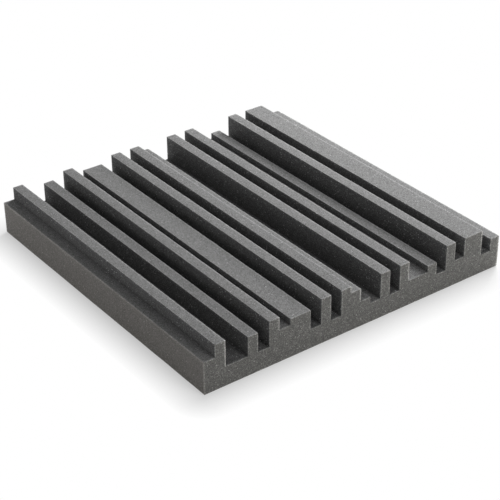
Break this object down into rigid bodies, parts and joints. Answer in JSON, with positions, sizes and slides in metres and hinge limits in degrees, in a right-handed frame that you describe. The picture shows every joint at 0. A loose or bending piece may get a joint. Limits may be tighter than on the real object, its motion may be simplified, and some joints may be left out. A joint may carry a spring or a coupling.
{
  "type": "acoustic foam panel",
  "caption": "Square acoustic foam panel cut from a single block, with a flat back and parallel stepped ribs of uneven height and spacing.",
  "frame": {"origin": "centre of the flat back, which is the face that is glued to a wall or rests on a table", "axes": "+Z out of the back through the ribs, +Y along the ribs, +X across them; the rib that stands one strip in from the side, with a low strip outside it, is at the -X side"},
  "size_m": [0.6, 0.6, 0.0815],
  "materials": {
    "foam": "charcoal open-cell polyurethane foam, matt, with fine open cells"
  },
  "bodies": {
    "root": {"foam_panel": "foam"}
  },
  "joints": []
}
